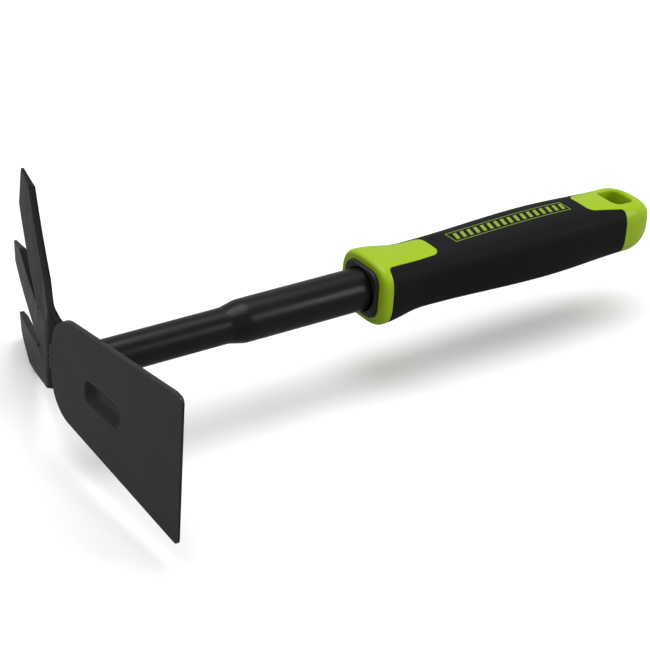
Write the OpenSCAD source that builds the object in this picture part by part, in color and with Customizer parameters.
// One-hand garden hoe: a hoe blade and a three-prong fork back to back on a
// steel tube, in a two-part moulded handle with a hanging hole.
// X runs along the tube from the head to the butt, Y from the blade's cutting
// edge to the prongs, Z across the blade. The origin is the centre of the
// hanging hole, on the tube's axis.

/* [Lengths] */
// Front face of the blade to the front face of the handle
head_reach = 170.5; // [140:0.5:260]
// Handle, front face to butt
handle_len = 187.5; // [160:0.5:240]
// Butt to the centre of the hanging hole
hang_from_butt = 21; // [17:0.5:30]

/* [Blade] */
// Tube axis to the cutting edge
blade_reach = 103; // [80:1:140]
// Tube axis to the blade's rounded end
blade_tail = 11; // [8:0.5:14]
// Width at the cutting edge
blade_edge_w = 74.6; // [60:0.2:100]
// Width at the rounded end
blade_tail_w = 49.6; // [44:0.2:60]
// Sheet thickness
blade_t = 3; // [2:0.1:4]
// Corner radius at the rounded end
tail_corner_r = 16; // [10:0.5:18]
// Corner radius at the cutting edge
edge_corner_r = 3; // [1:0.5:8]
// Length of the ground bevel on the back
bevel_len = 8; // [4:0.5:12]
// Thickness left at the cutting edge
edge_t = 1.2; // [0.6:0.1:1.8]
// Width of the pressed rib
rib_w = 13; // [8:0.5:16]
// Depth of the pressed rib
rib_depth = 3; // [1.5:0.1:4]
// Tube axis to the near end of the rib
rib_start = 18; // [16:0.5:30]
// Length of the rib
rib_len = 35; // [26:0.5:50]

/* [Fork] */
// Sheet thickness
fork_t = 3.4; // [2.5:0.1:4.5]
// Tube axis to the bend at the root of the prongs
bend_y = 21.3; // [18.5:0.1:26]
// Length of an outer prong from the bend
outer_len = 105; // [90:1:140]
// Length of the middle prong from the bend
middle_len = 112; // [90:1:140]
// Distance between the roots of neighbouring prongs
prong_pitch = 12.8; // [10:0.1:15]
// Width of a prong at its root
prong_root_w = 19.2; // [16:0.2:24]
// Width of an outer prong at the shoulder of its point
outer_tip_w = 24.4; // [14:0.2:28]
// Width of the middle prong at the shoulder of its point
middle_tip_w = 18; // [10:0.2:22]
// Width of the blunt end
prong_end_w = 3.4; // [1.5:0.1:5]
// Thickness of the blunt end
prong_end_t = 1.4; // [0.8:0.1:2.5]
// Lean of the prongs towards the handle at the bend
lean_root = 18; // [8:0.5:26]
// Lean at the tips
lean_tip = 21.8; // [10:0.2:36]
// Outward angle of an outer prong at its root
flare_root = 19.5; // [16:0.1:28]
// Outward angle of an outer prong at its tip
flare_tip = 18.2; // [4:0.2:24]
// Length of a point on its long side
point_long = 24; // [14:0.5:30]
// Length of an outer prong's point on its short side
point_short = 10.4; // [6:0.2:20]
// Length of the middle prong's point on its short side
middle_short = 5.6; // [4:0.2:20]
// Sideways shift of an outer prong's point
point_shift = 1.2; // [0:0.1:4]

/* [Shank tube] */
// Outside diameter in the handle
tube_d = 22; // [18.2:0.1:26.4]
// Outside diameter of the swaged neck
neck_d = 18.1; // [15:0.1:18.6]
// Wall
tube_wall = 1.5; // [1:0.1:2.5]
// Front face of the blade to the small end of the swage
neck_end = 88; // [60:1:110]
// Length of the swage
swage_len = 9; // [5:0.5:20]
// Depth of the tube inside the handle
tube_insert = 100; // [60:1:110]

/* [Handle] */
// Tube to the top of the grip at its fullest
grip_wall = 5.7; // [5:0.1:9]
// Tube to the side of the grip at its fullest
grip_side_wall = 7.4; // [6.5:0.1:11]
// Tube to the top of the handle at the front face
nose_wall = 4.6; // [4:0.1:7]
// Tube to the top of the collar behind the front face
collar_wall = 6.4; // [5.5:0.1:9]
// Tube to the top of the waist
waist_wall = 3.8; // [3.7:0.1:7]
// Height at the hanging hole over the tube's diameter, on each side
tail_wall = 4.3; // [3:0.1:7]
// Roundness of the section, 2 for an ellipse
section_power = 3.2; // [2.4:0.1:5]
// Front face to the collar's fullest place
collar_at = 3; // [2:0.5:5]
// Front face to the waist
waist_at = 30; // [20:1:45]
// Front face to the fullest place of the grip
belly_at = 112; // [90:1:130]
// Core between the tube and the grip, at the sides
core_side_wall = 2.7; // [2:0.1:4]
// Core between the tube and the grip, at the top and the bottom
core_wall = 1.7; // [1.5:0.1:2.5]
// Corner radius of the core inside the grip
core_corner_r = 5; // [2:0.5:6]
// Front face to the grip's edge on the sides
side_start = 5.5; // [5:0.5:12]
// Front face to the end of the front tongue
tongue_len = 41; // [30:0.5:60]
// Centre of the hanging hole to the grip's edge on the sides
side_end = 4.2; // [2:0.1:5]
// Centre of the hanging hole to the end of the rear tongue
rear_tongue_len = 25.6; // [18:0.2:40]
// Half width of a tongue where it leaves the side band
tongue_root_half = 12.9; // [10:0.1:14]
// Half width of a tongue at its end
tongue_end_half = 9; // [6:0.1:12]

/* [Front plate] */
// Tube to the side of the plate
plate_side_wall = 2.5; // [2:0.1:3.5]
// Tube to the top of the plate
plate_wall = 2; // [1.5:0.1:3]
// Corner radius of the plate
plate_corner_r = 7; // [3:0.5:9]
// How far the plate stands out of the handle
plate_proud = 2; // [1:0.1:4]
// Depth of its pocket in the handle
plate_pocket = 2.5; // [1.5:0.1:5]
// Gap between the plate and the tube
plate_gap = 0.6; // [0.3:0.1:1]

/* [Hanging hole] */
// Length of the hole along the handle
hole_len = 14.5; // [10:0.1:18]
// Width of the hole
hole_w = 16.8; // [12:0.1:20]
// Corner radius of the hole
hole_corner_r = 4.5; // [2:0.1:5]
// Flare of its rim
rim_flare = 1.5; // [0.5:0.1:2.5]

/* [Welds] */
// Leg of a fillet weld
weld_leg = 3; // [2:0.1:4]
// Length of the weld at the blade's rounded end
nose_weld_len = 15; // [8:0.5:18]
// Length of a weld beside the fork's plate
side_weld_len = 12; // [6:0.5:16]

/* [Hidden] */
$fn = 64;
eps = 0.01;
// Places along the tube, counted from the blade's front face
hang_x = head_reach + handle_len - hang_from_butt;
butt_x = head_reach + handle_len;
swage_end = neck_end + swage_len;
tube_end = head_reach + tube_insert;
plate_back = blade_t + fork_t;
tube_r = tube_d / 2;
// Sizes round the tube
grip_h = tube_d + 2 * grip_wall;
grip_w = tube_d + 2 * grip_side_wall;
nose_h = tube_d + 2 * nose_wall;
collar_h = tube_d + 2 * collar_wall;
waist_h = tube_d + 2 * waist_wall;
tail_h = tube_d + 2 * tail_wall;
core_w = tube_d + 2 * core_side_wall;
core_h = tube_d + 2 * core_wall;
plate_w = tube_d + 2 * plate_side_wall;
plate_h = tube_d + 2 * plate_wall;
neck_r = neck_d / 2;
// Steps of a rounded corner, of a prong, and of the handle's surface
arc_steps = 8;
prong_steps = 8;
ring_points = 40;
nose_rings = 4;
body_rings = 20;
butt_rings = 9;
// A cut reaches this far past what it cuts
past = 5;
rib_room = 40;
// The handle's tongues are cut into the part of its section above this height
tongue_z = 8;
tongue_corner_r = 4.5;
band_corner_r = 2.5;
// The fork's plate is a ring round the tube with a gap, widening to the prongs
fork_gap = 0.2;
fork_ring_wall = 6;
fork_ring_r = neck_r + fork_ring_wall;
// A prong starts this far before the bend, inside the plate
prong_foot = 7;
// The butt's last ring stands at this share of the butt's length
butt_close = 0.998;
// Share of its legs to which the middle of a weld's face stands out
weld_fill = 0.6;
// The nose weld stays this far behind the blade's front face, and the side welds this thin
nose_weld_gap = 0.4;
side_weld_t = 2.4;

// Rounded corner q between p and r, as points along its arc
function unit(v) = v / norm(v);
function arc_point(centre, radius, angle) = centre + radius * [cos(angle), sin(angle)];
function corner(p, q, r, radius) =
    let (a = unit(p - q), b = unit(r - q), half = acos(a * b) / 2)
    let (start = q + a * radius / tan(half), end = q + b * radius / tan(half))
    let (centre = q + unit(a + b) * radius / sin(half))
    let (first = atan2(start.y - centre.y, start.x - centre.x))
    let (last = atan2(end.y - centre.y, end.x - centre.x))
    let (turn = (last - first + 540) % 360 - 180)
    [for (i = [0:arc_steps]) arc_point(centre, radius, first + turn * i / arc_steps)];

// Outline through the given corners, each rounded to its radius
function rounded(corners, radii) =
    let (n = len(corners))
    [for (i = [0:n - 1])
        each corner(corners[(i + n - 1) % n], corners[i], corners[(i + 1) % n], radii[i])];

// Rectangle of this size about the origin, with rounded corners
function rounded_box(size, radius) =
    let (x = size.x / 2, y = size.y / 2)
    rounded([[x, y], [-x, y], [-x, -y], [x, -y]], [radius, radius, radius, radius]);

// Closed surface through rings that have the same number of points
module loft(rings) {
    n = len(rings[0]);
    last = len(rings) - 1;
    points = [for (ring = rings) each ring];
    sides = [for (j = [0:last - 1]) for (i = [0:n - 1])
        let (a = j * n + i, b = j * n + (i + 1) % n)
        each [[a, b + n, b], [a, a + n, b + n]]];
    caps = [[for (i = [0:n - 1]) i], [for (i = [0:n - 1]) last * n + n - 1 - i]];
    polyhedron(points = points, faces = concat(sides, caps));
}

// Moves a piece from the blade's face to the part's own origin
module in_frame() {
    translate([-hang_x, 0, 0]) children();
}

// Extrudes an outline in Y and Z from x0 to x1
module along_x(x0, x1) {
    translate([x0, 0, 0]) rotate([90, 0, 90]) linear_extrude(height = x1 - x0) children();
}

// Turns an outline of radius and length about the tube's axis
module about_x() {
    rotate([0, 90, 0]) rotate_extrude() children();
}

// ---- Blade

// Radius of the rib's round bottom, from its width and depth
rib_r = (pow(rib_w / 2, 2) + pow(rib_depth, 2)) / (2 * rib_depth);

// Long pill whose axis lies in front of the blade
module rib_pill(radius) {
    first = -rib_start - rib_w / 2;
    last = -rib_start - rib_len + rib_w / 2;
    translate([rib_depth - rib_r, 0, 0]) {
        translate([0, last, 0]) rotate([-90, 0, 0]) cylinder(r = radius, h = first - last);
        translate([0, first, 0]) sphere(r = radius);
        translate([0, last, 0]) sphere(r = radius);
    }
}

module blade_sheet(x1) {
    along_x(0, x1)
        polygon(rounded([[blade_tail, blade_tail_w / 2], [-blade_reach, blade_edge_w / 2],
                         [-blade_reach, -blade_edge_w / 2], [blade_tail, -blade_tail_w / 2]],
                        [tail_corner_r, edge_corner_r, edge_corner_r, tail_corner_r]));
}

module bevel_cut() {
    top = -blade_reach + bevel_len;
    slope = (blade_t - edge_t) / bevel_len;
    translate([0, 0, -blade_edge_w / 2 - past])
        linear_extrude(height = blade_edge_w + 2 * past)
            polygon([[blade_t, top], [blade_t + past, top],
                     [blade_t + past, -blade_reach - 1], [edge_t - slope, -blade_reach - 1]]);
}

module blade() {
    color([0.16, 0.16, 0.17]) in_frame() difference() {
        union() {
            blade_sheet(blade_t);
            difference() {
                rib_pill(rib_r + blade_t);
                translate([-rib_room, -blade_reach * 2, -blade_edge_w])
                    cube([rib_room + blade_t / 2, blade_reach * 3, blade_edge_w * 2]);
            }
        }
        rib_pill(rib_r);
        bevel_cut();
    }
}

// ---- Fork

// Direction of a prong at distance s: it leans back by a and spreads by g
function lean_at(s, length) = s < 0 ? 0 : lean_root + (lean_tip - lean_root) * s / length;
function flare_at(s, length) = flare_root + (flare_tip - flare_root) * s / length;
function prong_dir(a, g) = [sin(a), cos(a) * cos(g), cos(a) * sin(g)];

// Half width of a prong on one side, where the point on that side is point_len long
function side_at(s, length, point_len, tip, end_half) =
    let (shoulder = length - point_len, root = prong_root_w / 2)
    s < shoulder ? root + (tip - root) * max(s, 0) / shoulder
                 : tip + (end_half - tip) * (s - shoulder) / point_len;

// Corners of a prong's section, whose front face is centred on the place at
function prong_ring(at, a, g, low, high, t) =
    let (across = [0, -sin(g), cos(g)], back = [cos(a), -sin(a) * cos(g), -sin(a) * sin(g)])
    [at - across * low, at + across * high, at + across * high + back * t, at - across * low + back * t];

// Place on the centre line at each stop, one straight step after another
function walk(stops, way, i, at) =
    i == len(stops) ? []
    : concat([at], walk(stops, way, i + 1, i + 1 < len(stops) ? at + way[i] * (stops[i + 1] - stops[i]) : at));

// A prong as one closed surface, with side 1, 0 or -1 for its place
module prong(side, length, cut_in, cut_out, tip_w, shift) {
    body = length - max(cut_in, cut_out);
    stops = concat([-prong_foot, 0], [for (i = [1:prong_steps]) body * i / prong_steps],
                   cut_in == cut_out ? [] : [length - min(cut_in, cut_out)], [length]);
    n = len(stops);
    way = [for (i = [0:n - 2])
        let (s = (stops[i] + stops[i + 1]) / 2)
        prong_dir(lean_at(s, length), side * flare_at(s, length))];
    places = walk(stops, way, 0, [blade_t, bend_y, side * prong_pitch] - way[0] * prong_foot);
    loft([for (i = [0:n - 1])
        let (s = stops[i])
        let (inner = side_at(s, length, cut_in, tip_w / 2, prong_end_w / 2 - shift))
        let (outer = side_at(s, length, cut_out, tip_w / 2, prong_end_w / 2 + shift))
        let (thin = max(0, (s - length + cut_out) / cut_out))
        prong_ring(places[i], lean_at(s, length), side * flare_at(s, length),
                   side < 0 ? outer : inner, side < 0 ? inner : outer,
                   fork_t + (prong_end_t - fork_t) * thin)]);
}

// Flat plate between the tube and the bend
module fork_plate() {
    root_half = prong_pitch + prong_root_w / 2 - past;
    along_x(blade_t, plate_back) difference() {
        hull() {
            circle(r = fork_ring_r, $fn = 48);
            translate([bend_y - past, -root_half]) square([past, 2 * root_half]);
        }
        circle(r = neck_r + fork_gap, $fn = 96);
    }
}

module fork() {
    color([0.13, 0.13, 0.14]) in_frame() union() {
        fork_plate();
        prong(1, outer_len, point_short, point_long, outer_tip_w, point_shift);
        prong(-1, outer_len, point_short, point_long, outer_tip_w, point_shift);
        prong(0, middle_len, middle_short, point_long, middle_tip_w, 0);
    }
}

// ---- Shank tube

module shank_tube() {
    outer = [[neck_r, blade_t], [neck_r, neck_end], [tube_r, swage_end], [tube_r, tube_end]];
    inner = [[tube_r - tube_wall, tube_end], [tube_r - tube_wall, swage_end],
             [neck_r - tube_wall, neck_end], [neck_r - tube_wall, blade_t]];
    color([0.11, 0.11, 0.12]) in_frame() about_x() polygon(concat(outer, inner));
}

// ---- Welds

// Ring of weld round the tube on the fork's back
module tube_weld() {
    color([0.1, 0.1, 0.1]) in_frame() about_x()
        polygon([[neck_r, plate_back], [neck_r + weld_leg, plate_back],
                 [neck_r + weld_leg * weld_fill, plate_back + weld_leg * weld_fill],
                 [neck_r, plate_back + weld_leg]]);
}

// Bead in the corner between the blade's rounded end and the fork's face
module nose_weld() {
    leg = min(weld_leg, blade_t - nose_weld_gap);
    color([0.1, 0.1, 0.1]) in_frame() translate([blade_t, blade_tail, -nose_weld_len / 2])
        linear_extrude(height = nose_weld_len)
            polygon([[0, 0], [0, weld_leg], [-leg * weld_fill, weld_leg * weld_fill], [-leg, 0]]);
}

// Two beads beside the fork's plate on the blade's back
module side_welds() {
    color([0.1, 0.1, 0.1]) in_frame() for (side = [-1, 1]) difference() {
        translate([blade_t, -side_weld_len / 2, side > 0 ? 0 : -fork_ring_r - weld_leg])
            cube([side_weld_t, side_weld_len, fork_ring_r + weld_leg]);
        along_x(blade_t - 1, plate_back + 1) circle(r = fork_ring_r, $fn = 96);
    }
}

// ---- Front plate

module front_plate() {
    color([0.12, 0.12, 0.13]) in_frame() difference() {
        along_x(head_reach - plate_proud, head_reach + plate_pocket)
            polygon(rounded_box([plate_w, plate_h], plate_corner_r));
        along_x(head_reach - plate_proud - 1, head_reach + plate_pocket + 1) circle(r = tube_r + plate_gap);
    }
}

// ---- Handle

// Smooth step from a to b as u goes from 0 to 1
function ease(a, b, u) = a + (b - a) * (1 - cos(180 * u)) / 2;

// Half height of the handle at x: a round nose, collar, waist, belly and a round butt
collar_x = head_reach + collar_at;
waist_x = head_reach + waist_at;
belly_x = head_reach + belly_at;
function half_at(x) =
    x < collar_x ? (nose_h + (collar_h - nose_h) * sqrt(1 - pow((collar_x - x) / collar_at, 2))) / 2
    : x < waist_x ? ease(collar_h, waist_h, (x - collar_x) / (waist_x - collar_x)) / 2
    : x < belly_x ? ease(waist_h, grip_h, (x - waist_x) / (belly_x - waist_x)) / 2
    : x < hang_x ? ease(grip_h, tail_h, (x - belly_x) / (hang_x - belly_x)) / 2
    : tail_h / 2 * sqrt(1 - pow((x - hang_x) / hang_from_butt, 2));

// Ring of the handle's surface, a rounded square that is wider than it is high
function ring(x) =
    let (h = half_at(x), w = h * grip_w / grip_h)
    [for (i = [0:ring_points - 1])
        let (a = 360 * i / ring_points, c = cos(a), s = sin(a))
        let (r = pow(pow(abs(c), section_power) + pow(abs(s), section_power), -1 / section_power))
        [x, w * r * c, h * r * s]];

ring_places = concat(
    [for (i = [0:nose_rings - 1]) head_reach + collar_at * (1 - cos(90 * i / nose_rings))],
    [for (i = [0:body_rings - 1]) collar_x + (hang_x - collar_x) * i / body_rings],
    [for (i = [0:butt_rings]) hang_x + hang_from_butt * sin(90 * i / butt_rings) * butt_close]);

// The handle's whole outside, as one closed surface
module handle_form() {
    loft([for (x = ring_places) ring(x)]);
}

// Outline of the grip seen from above, cut back at both ends for the tongues
band_x = head_reach + side_start;
tongue_x = head_reach + tongue_len;
rear_band_x = hang_x - side_end;
rear_tongue_x = hang_x - rear_tongue_len;
function tongue_corners(sign, band, end) =
    [[band, sign * grip_w], [band, sign * tongue_root_half], [end, sign * tongue_end_half],
     [end, -sign * tongue_end_half], [band, -sign * tongue_root_half], [band, -sign * grip_w]];
tongue_radii = [eps, band_corner_r, tongue_corner_r, tongue_corner_r, band_corner_r, eps];

// The room that the grip's rubber takes, out to past the handle's surface
module grip_room() {
    translate([0, 0, -grip_h]) linear_extrude(height = 2 * grip_h)
        polygon(rounded(concat(tongue_corners(-1, band_x, tongue_x),
                               tongue_corners(1, rear_band_x, rear_tongue_x)),
                        concat(tongue_radii, tongue_radii)));
    translate([band_x, -grip_w, -tongue_z]) cube([rear_band_x - band_x, 2 * grip_w, 2 * tongue_z]);
}

// The core's plain bar inside the grip
module core_bar() {
    along_x(band_x - past, rear_band_x + past) polygon(rounded_box([core_w, core_h], core_corner_r));
}

module hang_hole() {
    translate([hang_x, 0, -grip_h]) linear_extrude(height = 2 * grip_h)
        polygon(rounded_box([hole_len, hole_w], hole_corner_r));
    for (side = [-1, 1]) translate([hang_x, 0, side * (tail_h / 2 - rim_flare)]) hull() {
        linear_extrude(height = eps) polygon(rounded_box([hole_len, hole_w], hole_corner_r));
        translate([0, 0, side * 2 * rim_flare]) linear_extrude(height = eps)
            polygon(rounded_box([hole_len + 2 * rim_flare, hole_w + 2 * rim_flare],
                                hole_corner_r + rim_flare));
    }
}

module handle_core() {
    color([0.62, 0.82, 0.12]) in_frame() difference() {
        handle_form();
        difference() {
            grip_room();
            core_bar();
        }
        about_x() polygon([[0, head_reach - 1], [tube_r, head_reach - 1], [tube_r, tube_end], [0, tube_end]]);
        along_x(head_reach - 1, head_reach + plate_pocket) polygon(rounded_box([plate_w, plate_h], plate_corner_r));
        hang_hole();
    }
}

module grip() {
    color([0.1, 0.1, 0.11]) in_frame() difference() {
        intersection() {
            handle_form();
            grip_room();
        }
        core_bar();
    }
}

blade();
fork();
shank_tube();
tube_weld();
nose_weld();
side_welds();
front_plate();
handle_core();
grip();
